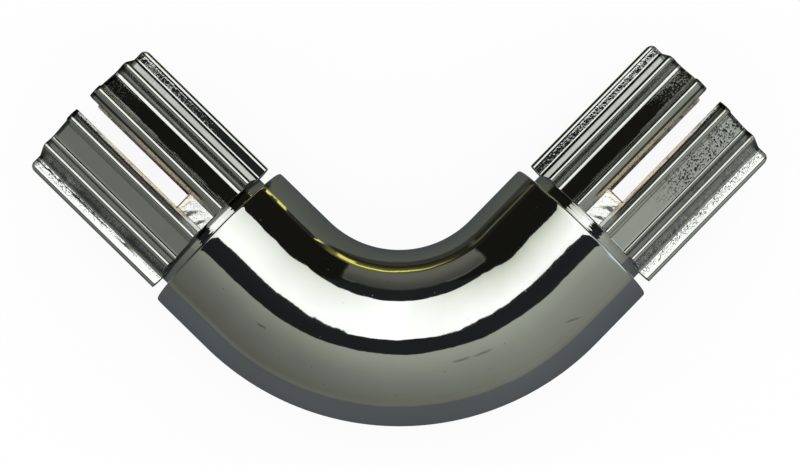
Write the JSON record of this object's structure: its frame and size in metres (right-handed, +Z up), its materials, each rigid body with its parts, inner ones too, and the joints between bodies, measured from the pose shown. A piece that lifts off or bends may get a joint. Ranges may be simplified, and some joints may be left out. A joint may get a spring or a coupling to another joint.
{
  "type": "rail elbow connector",
  "caption": "Right-angle elbow for round rail tube: a polished bend, flush with the tube, with a ribbed and slotted spigot at each end that enters the tube.",
  "frame": {"origin": "centre of the part's box in plan, on the surface that the elbow lies on", "axes": "the bend lies flat; +X runs out along one arm, +Y out along the other, +Z up"},
  "size_m": [0.1524, 0.1524, 0.0508],
  "materials": {
    "chrome_plate": "polished"
  },
  "bodies": {
    "root": {"elbow": "chrome_plate"}
  },
  "joints": []
}
